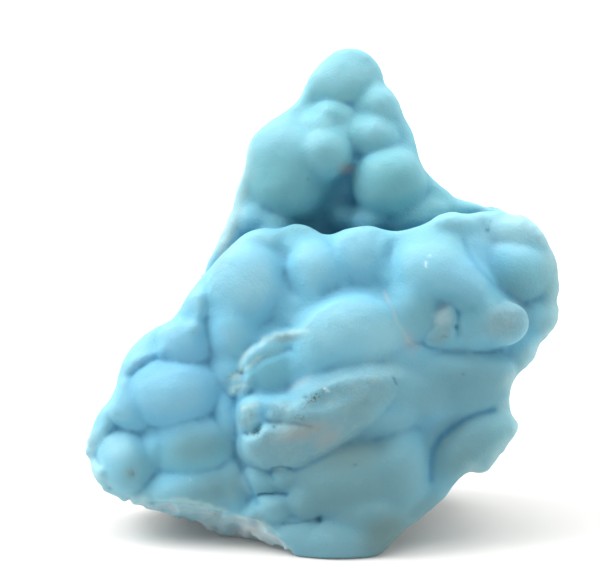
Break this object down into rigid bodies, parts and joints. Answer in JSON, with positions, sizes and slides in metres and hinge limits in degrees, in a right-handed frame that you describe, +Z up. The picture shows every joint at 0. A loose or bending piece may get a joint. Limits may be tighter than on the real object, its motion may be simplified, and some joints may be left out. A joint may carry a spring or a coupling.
{
  "type": "blue aragonite specimen",
  "caption": "Free-standing mineral specimen of botryoidal blue aragonite: a crust of rounded lobes with a tall knobbly pinnacle and a broken back, resting on a flat foot.",
  "frame": {"origin": "on the floor plane, under the centre of the specimen's bounding box", "axes": "+Z up, -Y towards the lobed face that the picture shows, +X to the right of that view"},
  "size_m": [0.0954, 0.0622, 0.095],
  "materials": {
    "aragonite": "waxy natural skin of pale blue carbonate, rough and paler where it is broken"
  },
  "bodies": {
    "root": {"blue_aragonite": "aragonite"}
  },
  "joints": []
}
